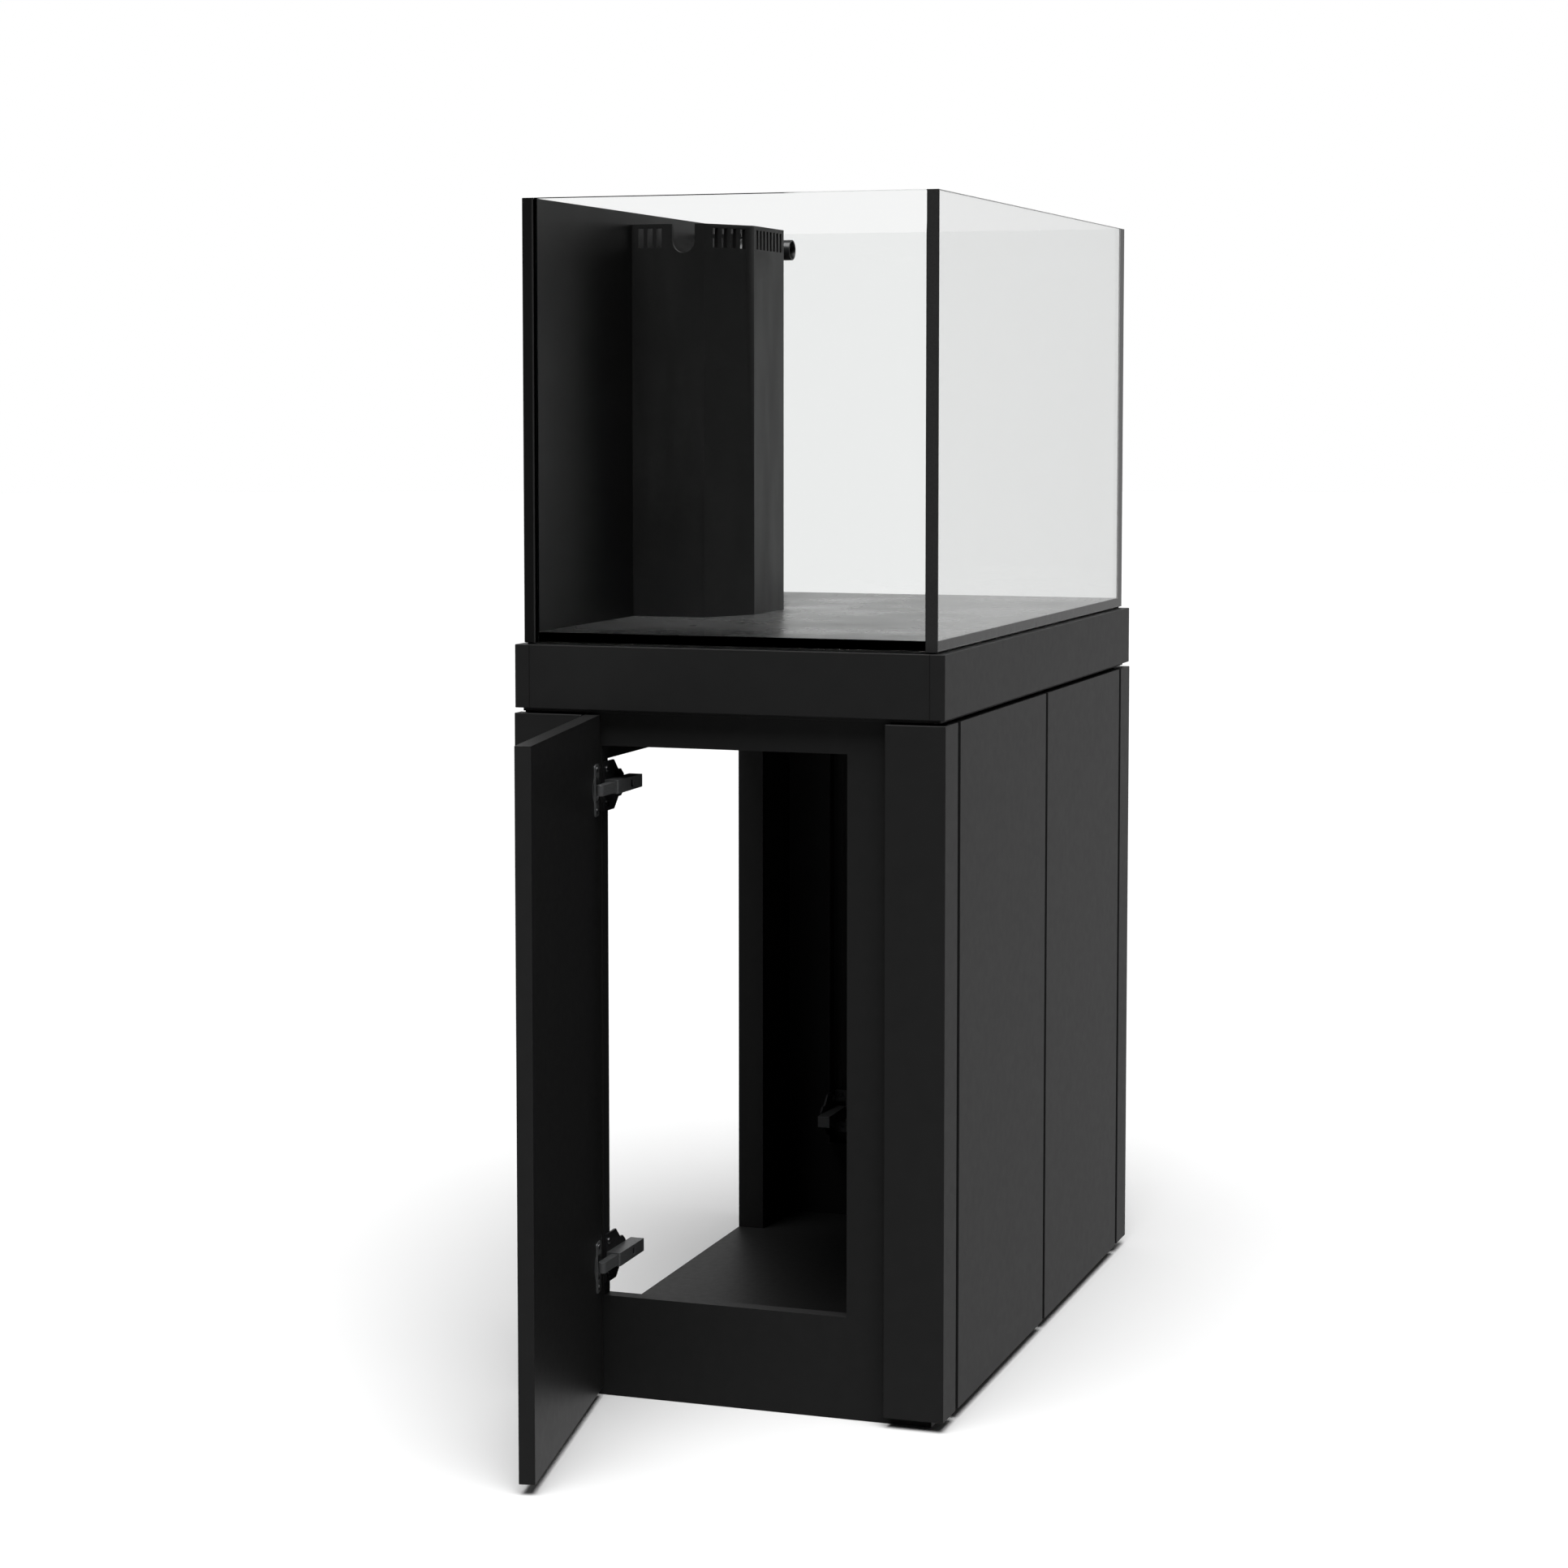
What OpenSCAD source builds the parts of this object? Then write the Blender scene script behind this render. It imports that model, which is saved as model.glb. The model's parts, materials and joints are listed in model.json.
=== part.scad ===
// Rimless glass aquarium with an overflow box at its back pane, on a cabinet stand.
// Millimetres. +Z up, +X to the right along the front, the front faces -Y.
// The origin is on the ground, below the middle of the cabinet.

/* [Tank] */
// Outside width of the glass tank
tank_w = 900; // [700:10:1500]
// Outside depth of the glass tank
tank_d = 500; // [400:10:700]
// Height of the glass tank
tank_h = 513; // [350:1:700]
// Thickness of every pane
glass_t = 12; // [8:1:19]
// Width of the silicone joints between the panes
seam_t = 2; // [1:0.5:3]
// Leg of the silicone beads in the rear corners
bead_w = 4; // [2:0.5:6]
// Thickness of the silicone wiped over the ends of the front pane
film_t = 0.5; // [0.3:0.1:1]
// Thickness of the levelling mat below the tank
mat_t = 2; // [1:0.5:6]

/* [Overflow box] */
// Outside width of the overflow box along the back pane
weir_w = 260; // [240:5:400]
// Depth of its two side walls, out from the back pane
weir_side_d = 95; // [80:5:130]
// Width of its front wall
weir_front_w = 114; // [80:2:160]
// Depth of the whole box, out from the back pane
weir_d = 135; // [110:5:200]
// Thickness of its walls
weir_t = 6; // [4:1:8]
// How far its rim lies below the rim of the tank
weir_drop = 15; // [5:1:60]
// Distance from its rim down to the combs
comb_drop = 5; // [3:1:12]
// Height of the comb slots
slot_h = 24; // [12:1:40]
// Width of the slots in the side walls
side_slot_w = 7; // [4:0.5:9]
// Width of the slots in the slanted walls
slant_slot_w = 8.4; // [4:0.2:10]
// Width of the slots in the front wall
front_slot_w = 6.4; // [3:0.2:8]
// Width of the rounded notch in each side wall
notch_w = 30; // [26:1:36]
// Distance from the back pane to the middle of the notch
notch_y = 68; // [60:1:76]
// Distance from the rim down to the centre of the notch's round bottom
notch_drop = 20.5; // [16:0.5:40]

/* [Plumbing] */
// Outside radius of the two standpipes
drain_r = 16; // [12.5:0.5:16]
// Outside radius of the return pipe and its nozzle
return_r = 13.3; // [8:0.1:13.5]
// Wall of every pipe
pipe_t = 2; // [1.5:0.1:3]
// Distance between the bulkheads
bulkhead_pitch = 80; // [70:1:95]
// Outside radius of the bulkhead flanges
flange_r = 30; // [26:1:34]
// Outside radius of the bulkhead barrels
barrel_r = 21.5; // [20:0.5:24]
// Distance from the rim of the overflow box down to the main standpipe
drain_drop = 60; // [45:1:120]
// Distance from the rim of the overflow box down to the emergency standpipe
emergency_drop = 42; // [35:1:100]
// How far the nozzle reaches out to the side of the overflow box
nozzle_side = 30; // [25:1:60]
// Length of the nozzle from the axis of the notch to its mouth
nozzle_reach = 44; // [34:1:90]
// Radial clearance between the nozzle and its sleeve
swivel_gap = 0.1; // [0.05:0.01:0.2]

/* [Base tray] */
// Height of the tray's outer boards
tray_h = 74; // [60:1:140]
// Margin of the tray beside the tank, at the left and right
tray_margin_x = 5; // [0:1:30]
// Margin of the tray in front of the tank and behind it
tray_margin_y = 10; // [0:1:30]

/* [Cabinet] */
// Height of the doors and the cladding
clad_h = 793; // [500:1:950]
// Gap between the ground and the doors
ground_gap = 12; // [6:1:40]
// Shadow gap between the cladding and the base tray
reveal = 6; // [4:0.5:15]
// Thickness of the spacer board inside the shadow gap
spacer_t = 4; // [2:0.5:4]
// How far the spacer board lies behind the cladding
spacer_inset = 8; // [4:1:16]
// How far the cladding stands proud of the tray at the front and rear
clad_proud = 1; // [0:0.5:5]
// Thickness of the carcass boards
board_t = 18; // [15:1:25]
// Height of the bottom rails, from the ground to the openings
low_rail = 119; // [60:1:200]
// Height of the top rails, from the openings to the carcass top
top_rail = 39; // [30:1:120]
// Width of the rear posts
post_w = 114; // [60:1:160]
// Depth of the rear posts
post_d = 36; // [18:1:60]
// How far the carcass ends ahead of the rear edge of the cladding
back_inset = 6; // [0:1:20]
// Height of the rear rail below the carcass top
rear_rail_h = 60; // [40:1:80]
// Width of the plumbing cut-out in the carcass top
cutout_w = 250; // [240:5:280]
// Depth of the plumbing cut-out in the carcass top
cutout_d = 120; // [90:5:130]

/* [Doors] */
// Thickness of the doors
door_t = 18; // [16:1:22]
// Gap between a closed door and the carcass
door_back_gap = 1.2; // [1:0.1:3]
// Gap beside the side doors
side_gap = 3; // [2:0.5:6]
// Finger gap beside and between the front doors
front_gap = 10; // [3:0.5:15]
// Side leg of the front corner cladding
corner_side_w = 71; // [50:1:110]
// Front leg of the front corner cladding
corner_front_w = 52; // [40:1:90]
// Width of the rear cladding strips
rear_strip_w = 84; // [60:1:120]
// Width of the side frame's front jamb that shows beside the cladding
front_jamb_show = 50; // [20:1:80]
// Angle at which the left side door stands open
rest_open = 79.6; // [0:0.1:95]

/* [Hinges] */
// How far a door covers its jamb
hinge_overlay = 15; // [12:0.5:17]
// Distance of a door's turning axis from its hinge edge
pivot_in = 3; // [2:0.5:6]
// Distance of a door's turning axis from its outer face
pivot_deep = 3; // [2:0.5:6]
// Distance of the cup centre from the door's hinge edge
cup_in = 26; // [22:0.5:28]
// Radius of the hinge cups
cup_r = 17.5; // [13:0.5:17.5]
// Depth of the hinge cups
cup_depth = 11.5; // [10:0.5:13]
// Wall of the hinge cups
cup_t = 1; // [0.8:0.1:1.2]
// Distance from a door's top edge to its upper hinge
hinge_top = 85; // [60:1:200]
// Distance from a door's bottom edge to its lower hinge
hinge_low = 150; // [60:1:200]
// Length of the fixed hinge arm
arm_len = 77; // [70:1:90]
// Height of the fixed hinge arm
arm_h = 16; // [16:0.5:20]
// How far the arm's face stands out past the middle of an open door's cup
arm_out = 12.6; // [9:0.1:13]
// Sheet thickness of the arm
arm_t = 1.4; // [1:0.1:1.5]
// Thickness of the mounting plate
plate_t = 2.5; // [1.5:0.1:3]
// Radial and side clearance of the link in the arm
link_gap = 0.3; // [0.2:0.05:0.5]
// Width of the link
link_w = 9; // [6:0.5:9]

/* [Hidden] */
$fn = 64;

// Heights
clad_z0 = ground_gap;
clad_z1 = clad_z0 + clad_h;
tray_z0 = clad_z1 + reveal;
carcass_z1 = tray_z0 - spacer_t;
open_z1 = carcass_z1 - top_rail;
deck_z = tray_z0 + tray_h;
tank_z0 = deck_z + mat_t;
tank_z1 = tank_z0 + tank_h;
floor_z = tank_z0 + glass_t;

// Plan of the tray, the cladding and the carcass
tray_w = tank_w + 2 * tray_margin_x;
tray_d = tank_d + 2 * tray_margin_y;
clad_w = tray_w;
clad_d = tray_d + 2 * clad_proud;
clad_t = door_t + door_back_gap;
carcass_x = clad_w / 2 - clad_t;
carcass_y0 = -(clad_d / 2 - clad_t);
carcass_y1 = clad_d / 2 - back_inset;
frame_x = carcass_x - board_t;

// Side doors and the openings behind them
side_hinge_y = clad_d / 2 - rear_strip_w - side_gap;
side_free_y = -clad_d / 2 + corner_side_w + side_gap;
side_door_w = side_hinge_y - side_free_y;
side_open_y1 = side_hinge_y - hinge_overlay;
side_open_y0 = -clad_d / 2 + corner_side_w + front_jamb_show;

// Front doors and the opening behind them
front_hinge_x = clad_w / 2 - corner_front_w - front_gap;
front_door_w = front_hinge_x - front_gap / 2;
front_open_x = front_hinge_x - hinge_overlay;

// Tank
inner_w = tank_w - 2 * (glass_t + seam_t);
inner_d = tank_d - 2 * (glass_t + seam_t);
back_y = tank_d / 2 - glass_t;
side_x = tank_w / 2 - glass_t;
mat_inset = 3;

// Overflow box, in a frame with its origin at the back pane and on the tank floor
weir_h = tank_h - glass_t - weir_drop;
weir_slant = atan2(weir_d - weir_side_d, (weir_w - weir_front_w) / 2);
notch_z = floor_z + weir_h - notch_drop;
comb_z = weir_h - comb_drop - slot_h;
side_slots = 3;
side_slot_pitch = 12;
slant_slots = 4;
slant_slot_pitch = 15;
front_slots = 8;
front_slot_pitch = 12.7;

// Plumbing
pipe_y = back_y - notch_y;
gasket_t = 3;
flange_t = 6;
nut_t = 12;
socket_depth = 22;
barrel_drop = 50;
barrel_z0 = tank_z0 - barrel_drop;
barrel_z1 = floor_z + gasket_t + flange_t;
barrel_fit = 0.5;
nut_r = 31;
nut_room = 5;
deck_hole_r = nut_r + nut_room;
waterway_r = 9;
bend_r = 20;
pipe_radii = [drain_r, drain_r, return_r];
pipe_x = [-bulkhead_pitch, 0, bulkhead_pitch];
return_x = pipe_x[2];
sleeve_x0 = return_x + bend_r;
sleeve_gap = 2;
sleeve_x1 = weir_w / 2 - weir_t - sleeve_gap;
sleeve_mid = (sleeve_x0 + sleeve_x1) / 2;
sleeve_t = 3;
nozzle_gap = 0.3;
nozzle_x = weir_w / 2 + nozzle_side;

// Base tray
bearer_x = 155;
tray_in_x = tray_w / 2 - board_t;
tray_in_y = tray_d / 2 - board_t;

// Hinges, in a frame that runs from the door's hinge edge along its inner face
hinge_z = [clad_z1 - hinge_top, clad_z0 + hinge_low];
pivot_y = door_t - pivot_deep;
jamb_x = hinge_overlay;
arm_y1 = -3;
arm_y0 = arm_y1 - arm_len;
arm_face = 2.5;
arm_slot = [[-52, -4.1], [-44, 4.1]];
cup_x_open = pivot_in + (cup_in - pivot_in) * cos(rest_open) + pivot_y * sin(rest_open);
arm_x1 = cup_x_open + arm_out;
flange_w = 2 * (cup_in - jamb_x) - 1;
flange_len = 60;
flange_sheet = 1.5;
rim_w = 1;
rim_t = 0.8;
cup_screw_z = 24;
cup_screw_r = 1.8;
cup_screw_head_r = 3.4;
cup_screw_head_t = 1.2;
plate_screw_z = 20;
plate_screw_y = -door_back_gap - board_t / 2;
plate_screw_r = 2;
plate_screw_head_r = 4.2;
plate_screw_head_t = 1.8;
plate_screw_len = 24;
plate_wing_z = 29;
plate_tail_z = 16;
plate_tip_z = 9;
link_x1 = arm_x1 - arm_face;
link_x0 = link_x1 - link_w;
link_h = arm_h - 2 * arm_t - 2 * link_gap;
link_tail = -54;
tail_gap = 2;
knuckle_r = 4;
knuckle_y = 1;
cup_y_open = pivot_y + (cup_in - pivot_in) * sin(rest_open) - pivot_y * cos(rest_open);
link_rate = cup_y_open / rest_open;

// ---------------------------------------------------------------- helpers

// A box between two corners
module block(low, high) {
    translate(low) cube(high - low);
}

// A round bar along X
module bar_x(r, x0, x1) {
    translate([x0, 0, 0]) rotate([0, 90, 0]) cylinder(r = r, h = x1 - x0);
}

// A round bar along Y
module bar_y(r, y0, y1) {
    translate([0, y0, 0]) rotate([-90, 0, 0]) cylinder(r = r, h = y1 - y0);
}

// Places a hinge frame at the right side door, closed
module at_right_side() {
    translate([clad_w / 2 - door_t, side_hinge_y, 0]) rotate(-90) children();
}

// Places a hinge frame at the front right door, closed
module at_front_right() {
    translate([front_hinge_x, -(clad_d / 2 - door_t), 0]) rotate(180) children();
}

// Places a hinge frame at the left side door, closed
module at_left_side() {
    mirror([1, 0, 0]) at_right_side() children();
}

// Places a hinge frame at the front left door, closed
module at_front_left() {
    mirror([1, 0, 0]) at_front_right() children();
}

// Turns what rides on a door about the door's axis
module swung(angle) {
    translate([pivot_in, pivot_y, 0]) rotate(angle) translate([-pivot_in, -pivot_y, 0]) children();
}

// Repeats a hinge piece at all four doors
module at_each_door() {
    at_left_side() children();
    at_right_side() children();
    at_front_left() children();
    at_front_right() children();
}

// ---------------------------------------------------------------- tank

module long_pane(y0) {
    block([-tank_w / 2, y0, tank_z0], [tank_w / 2, y0 + glass_t, tank_z1]);
}

module front_pane() {
    color("lightcyan", 0.3) long_pane(-tank_d / 2);
}

module back_pane() {
    color("black") long_pane(back_y);
}

module side_pane(x0) {
    block([x0, -inner_d / 2, tank_z0], [x0 + glass_t, inner_d / 2, tank_z1]);
}

module left_pane() {
    color("lightcyan", 0.3) side_pane(-tank_w / 2);
}

module right_pane() {
    color("lightcyan", 0.3) side_pane(side_x);
}

module bottom_pane() {
    color("black")
    difference() {
        block([-inner_w / 2, -inner_d / 2, tank_z0], [inner_w / 2, inner_d / 2, floor_z]);
        for (x = pipe_x)
            translate([x, pipe_y, tank_z0 - 1]) cylinder(r = barrel_r + barrel_fit, h = glass_t + 2);
    }
}

// The silicone between the panes, a film over the ends of the front pane, and a bead in each rear corner
module silicone_seams() {
    color("black") {
        for (x = [-tank_w / 2 - film_t, tank_w / 2])
            block([x, -tank_d / 2, tank_z0], [x + film_t, -inner_d / 2, tank_z1]);
        for (x = [-tank_w / 2, side_x]) {
            block([x, -inner_d / 2 - seam_t, tank_z0], [x + glass_t, -inner_d / 2, tank_z1]);
            block([x, inner_d / 2, tank_z0], [x + glass_t, inner_d / 2 + seam_t, tank_z1]);
        }
        difference() {
            block([-side_x, -back_y, tank_z0], [side_x, back_y, floor_z]);
            block([-inner_w / 2, -inner_d / 2, tank_z0 - 1], [inner_w / 2, inner_d / 2, floor_z + 1]);
        }
        for (s = [-1, 1])
            translate([s * side_x, back_y, floor_z])
            linear_extrude(tank_z1 - floor_z)
            polygon([[0, 0], [-s * bead_w, 0], [0, -bead_w]]);
    }
}

module levelling_mat() {
    color("dimgray")
    difference() {
        block([mat_inset - tank_w / 2, mat_inset - tank_d / 2, deck_z],
              [tank_w / 2 - mat_inset, tank_d / 2 - mat_inset, tank_z0]);
        for (x = pipe_x)
            translate([x, pipe_y, deck_z - 1]) cylinder(r = deck_hole_r, h = mat_t + 2);
    }
}

// ---------------------------------------------------------------- overflow box

// Plan of the box with its walls moved in by t
module weir_plan(t) {
    x0 = weir_w / 2 - t;
    y0 = weir_side_d + t * tan(weir_slant) - t / cos(weir_slant);
    run = (weir_d - weir_side_d - t + t / cos(weir_slant)) / tan(weir_slant);
    x1 = weir_w / 2 - run;
    y1 = weir_d - t;
    polygon([[-x0, 0], [-x0, -y0], [-x1, -y1], [x1, -y1], [x0, -y0], [x0, 0]]);
}

// A row of comb slots through a wall that runs along X with its outer face at y = 0
module comb(count, pitch, width) {
    for (i = [0 : count - 1])
        translate([(i - (count - 1) / 2) * pitch - width / 2, -weir_t, comb_z])
        cube([width, 3 * weir_t, slot_h]);
}

module weir_side_cuts() {
    translate([-weir_w / 2, -side_slot_pitch * (side_slots + 1) / 2, 0])
        rotate(-90) comb(side_slots, side_slot_pitch, side_slot_w);
    translate([-(weir_w + weir_front_w) / 4, -(weir_side_d + weir_d) / 2, 0])
        rotate(-weir_slant) comb(slant_slots, slant_slot_pitch, slant_slot_w);
    translate([-weir_w / 2 - weir_t, -notch_y, weir_h - notch_drop]) {
        rotate([0, 90, 0]) cylinder(r = notch_w / 2, h = 3 * weir_t);
        translate([0, -notch_w / 2, 0]) cube([3 * weir_t, notch_w, notch_drop + 1]);
    }
}

module overflow_box() {
    color([0.1, 0.1, 0.1])
    translate([0, back_y, floor_z])
    difference() {
        linear_extrude(weir_h) weir_plan(0);
        translate([0, 0, -1]) linear_extrude(weir_h + 2) weir_plan(weir_t);
        translate([0, 0, -1]) block([weir_t - weir_w / 2, -1, 0], [weir_w / 2 - weir_t, 1, weir_h + 2]);
        weir_side_cuts();
        mirror([1, 0, 0]) weir_side_cuts();
        translate([0, -weir_d, 0]) comb(front_slots, front_slot_pitch, front_slot_w);
    }
}

// ---------------------------------------------------------------- plumbing

module standpipe(x, z1) {
    translate([x, pipe_y, barrel_z1 - socket_depth])
    difference() {
        cylinder(r = drain_r, h = z1 - barrel_z1 + socket_depth);
        translate([0, 0, -1]) cylinder(r = drain_r - pipe_t, h = z1 - barrel_z1 + socket_depth + 2);
    }
}

module drain_standpipe() {
    color("darkslategray") standpipe(pipe_x[0], floor_z + weir_h - drain_drop);
}

module emergency_standpipe() {
    color("darkslategray") standpipe(pipe_x[1], floor_z + weir_h - emergency_drop);
}

// A quarter bend in the XZ plane, from up to +X, about the origin
module bend(r) {
    rotate([90, 0, 0]) rotate_extrude(angle = 90) translate([bend_r, 0]) circle(r = r);
}

// The return pipe: up from its bulkhead, then bent towards the notch
module return_solid(r, over) {
    z0 = barrel_z1 - socket_depth;
    translate([return_x, pipe_y, z0 - over]) cylinder(r = r, h = notch_z - bend_r - z0 + over);
    translate([return_x + bend_r, pipe_y, notch_z - bend_r])
        mirror([1, 0, 0]) bend(r);
    translate([0, pipe_y, notch_z]) bar_x(r, sleeve_x0, sleeve_mid + over);
}

module return_riser() {
    color("darkslategray")
    difference() {
        return_solid(return_r, 0);
        return_solid(return_r - pipe_t, 1);
    }
}

// The sleeve that joins the riser to the nozzle and lets the nozzle turn
module return_sleeve() {
    color("dimgray")
    translate([0, pipe_y, notch_z])
    difference() {
        bar_x(return_r + sleeve_t, sleeve_x0 + 1, sleeve_x1);
        bar_x(return_r, sleeve_x0, sleeve_mid);
        bar_x(return_r + swivel_gap, sleeve_mid - 0.01, sleeve_x1 + 1);
    }
}

// The nozzle: out through the notch, then bent towards the front
module nozzle_solid(r, over) {
    bar_x(r, sleeve_mid + nozzle_gap - over, nozzle_x - bend_r);
    translate([nozzle_x - bend_r, -bend_r, 0])
        rotate_extrude(angle = 90) translate([bend_r, 0]) circle(r = r);
    translate([nozzle_x, 0, 0]) bar_y(r, -nozzle_reach - over, -bend_r);
}

module return_nozzle() {
    color("dimgray")
    translate([0, pipe_y, notch_z])
    difference() {
        nozzle_solid(return_r, 0);
        nozzle_solid(return_r - pipe_t, 1);
    }
}

module bulkheads() {
    color("dimgray")
    for (i = [0 : 2])
        translate([pipe_x[i], pipe_y, 0])
        difference() {
            union() {
                translate([0, 0, barrel_z0]) cylinder(r = barrel_r, h = barrel_z1 - barrel_z0);
                translate([0, 0, floor_z + gasket_t]) cylinder(r = flange_r, h = flange_t);
            }
            translate([0, 0, barrel_z0 - 1]) cylinder(r = waterway_r, h = barrel_z1 - barrel_z0 + 2);
            translate([0, 0, barrel_z0 - 1]) cylinder(r = pipe_radii[i], h = socket_depth + 1);
            translate([0, 0, barrel_z1 - socket_depth]) cylinder(r = pipe_radii[i], h = socket_depth + 1);
        }
}

module bulkhead_gaskets() {
    color("black")
    for (x = pipe_x)
        translate([x, pipe_y, floor_z])
        difference() {
            cylinder(r = flange_r - 1, h = gasket_t);
            translate([0, 0, -1]) cylinder(r = barrel_r, h = gasket_t + 2);
        }
}

module bulkhead_nuts() {
    color("dimgray")
    for (x = pipe_x)
        translate([x, pipe_y, tank_z0 - nut_t])
        difference() {
            cylinder(r = nut_r, h = nut_t, $fn = 6);
            translate([0, 0, -1]) cylinder(r = barrel_r, h = nut_t + 2);
        }
}

// ---------------------------------------------------------------- base tray

module tray_long_board(y0) {
    block([-tray_w / 2, y0, tray_z0], [tray_w / 2, y0 + board_t, deck_z]);
}

module tray_front_board() {
    color([0.15, 0.15, 0.15]) tray_long_board(-tray_d / 2);
}

module tray_rear_board() {
    color([0.15, 0.15, 0.15]) tray_long_board(tray_in_y);
}

module tray_short_board(x0) {
    block([x0, -tray_in_y, tray_z0], [x0 + board_t, tray_in_y, deck_z]);
}

module tray_left_board() {
    color([0.15, 0.15, 0.15]) tray_short_board(-tray_w / 2);
}

module tray_right_board() {
    color([0.15, 0.15, 0.15]) tray_short_board(tray_in_x);
}

module tray_deck() {
    color([0.2, 0.2, 0.2])
    difference() {
        block([-tray_in_x, -tray_in_y, deck_z - board_t], [tray_in_x, tray_in_y, deck_z]);
        for (x = pipe_x)
            translate([x, pipe_y, deck_z - board_t - 1]) cylinder(r = deck_hole_r, h = board_t + 2);
    }
}

module tray_bearers() {
    color([0.25, 0.2, 0.15])
    for (x = [-2 * bearer_x, -bearer_x, bearer_x, 2 * bearer_x])
        block([x - board_t / 2, -tray_in_y, tray_z0], [x + board_t / 2, tray_in_y, deck_z - board_t]);
}

// The space that the pipes pass through, down from the tray
module cutout(z0, z1) {
    block([-cutout_w / 2, pipe_y - cutout_d / 2, z0], [cutout_w / 2, pipe_y + cutout_d / 2, z1]);
}

module spacer_board() {
    color("black")
    difference() {
        block([-clad_w / 2 + spacer_inset, -clad_d / 2 + spacer_inset, carcass_z1],
              [clad_w / 2 - spacer_inset, clad_d / 2 - spacer_inset, tray_z0]);
        cutout(carcass_z1 - 1, tray_z0 + 1);
    }
}

// ---------------------------------------------------------------- carcass

module top_panel() {
    color([0.15, 0.15, 0.15])
    difference() {
        block([-frame_x, carcass_y0 + board_t, carcass_z1 - board_t], [frame_x, carcass_y1, carcass_z1]);
        cutout(carcass_z1 - board_t - 1, carcass_z1 + 1);
    }
}

module base_panel() {
    color([0.15, 0.15, 0.15])
    block([-frame_x, carcass_y0 + board_t, 0], [frame_x, carcass_y1, board_t]);
}

// The holes for the screws of a door's mounting plates, in a hinge frame
module plate_pilots() {
    for (z = hinge_z, s = [-1, 1])
        translate([0, plate_screw_y, z + s * plate_screw_z])
        bar_x(plate_screw_r, jamb_x + plate_t - plate_screw_len, jamb_x + 1);
}

module right_side_frame() {
    color([0.15, 0.15, 0.15])
    difference() {
        block([frame_x, carcass_y0 + board_t, 0], [carcass_x, carcass_y1, carcass_z1]);
        block([frame_x - 1, side_open_y0, low_rail], [carcass_x + 1, side_open_y1, open_z1]);
        at_right_side() plate_pilots();
    }
}

module left_side_frame() {
    mirror([1, 0, 0]) right_side_frame();
}

module front_frame() {
    color([0.15, 0.15, 0.15])
    difference() {
        block([-carcass_x, carcass_y0, 0], [carcass_x, carcass_y0 + board_t, carcass_z1]);
        block([-front_open_x, carcass_y0 - 1, low_rail], [front_open_x, carcass_y0 + board_t + 1, open_z1]);
        at_front_left() plate_pilots();
        at_front_right() plate_pilots();
    }
}

module right_rear_post() {
    color([0.15, 0.15, 0.15])
    block([frame_x - post_w, carcass_y1 - post_d, board_t], [frame_x, carcass_y1, carcass_z1 - board_t]);
}

module left_rear_post() {
    mirror([1, 0, 0]) right_rear_post();
}

module rear_rail() {
    color([0.15, 0.15, 0.15])
    block([post_w - frame_x, carcass_y1 - board_t, carcass_z1 - board_t - rear_rail_h],
          [frame_x - post_w, carcass_y1, carcass_z1 - board_t]);
}

// ---------------------------------------------------------------- cladding

module front_right_corner() {
    x = clad_w / 2;
    y = -clad_d / 2;
    color([0.2, 0.2, 0.2])
    translate([0, 0, clad_z0])
    linear_extrude(clad_h)
    polygon([[x, y], [x, y + corner_side_w], [x - clad_t, y + corner_side_w],
             [x - clad_t, y + clad_t], [x - corner_front_w, y + clad_t], [x - corner_front_w, y]]);
}

module front_left_corner() {
    mirror([1, 0, 0]) front_right_corner();
}

module right_rear_strip() {
    color([0.2, 0.2, 0.2])
    block([carcass_x, clad_d / 2 - rear_strip_w, clad_z0], [clad_w / 2, clad_d / 2, clad_z1]);
}

module left_rear_strip() {
    mirror([1, 0, 0]) right_rear_strip();
}

// ---------------------------------------------------------------- hinges and doors

// A door panel with its cup bores and screw holes, in a hinge frame
module door_panel(width) {
    color([0.2, 0.2, 0.2])
    difference() {
        block([0, 0, clad_z0], [width, door_t, clad_z1]);
        for (z = hinge_z) {
            translate([cup_in, 0, z]) bar_y(cup_r, -1, cup_depth);
            for (s = [-1, 1])
                translate([cup_in, 0, z + s * cup_screw_z]) bar_y(cup_screw_r, -1, cup_depth);
        }
    }
}

// The two hinge cups of a door, each with its flange
module cups() {
    color("gray")
    for (z = hinge_z)
        translate([cup_in, 0, z])
        difference() {
            union() {
                bar_y(cup_r, 0, cup_depth);
                bar_y(cup_r + rim_w, -rim_t, 0);
                block([-flange_w / 2, -flange_sheet, -flange_len / 2], [flange_w / 2, 0, flange_len / 2]);
            }
            bar_y(cup_r - cup_t, -flange_sheet - 1, cup_depth - cup_t);
            for (s = [-1, 1])
                translate([0, 0, s * cup_screw_z]) bar_y(cup_screw_r, -flange_sheet - 1, 1);
        }
}

module cup_screws() {
    color("silver")
    for (z = hinge_z, s = [-1, 1])
        translate([cup_in, 0, z + s * cup_screw_z]) {
            bar_y(cup_screw_r, -flange_sheet, cup_depth);
            bar_y(cup_screw_head_r, -flange_sheet - cup_screw_head_t, -flange_sheet);
        }
}

// The link that carries each cup outwards, with its knuckle in the cup
module links(travel) {
    color("darkgray")
    for (z = hinge_z)
        translate([0, travel, z - link_h / 2]) {
            block([link_x0, link_tail, 0], [link_x1, knuckle_y, link_h]);
            translate([(link_x0 + link_x1) / 2, knuckle_y, 0]) cylinder(r = knuckle_r, h = link_h);
        }
}

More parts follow.
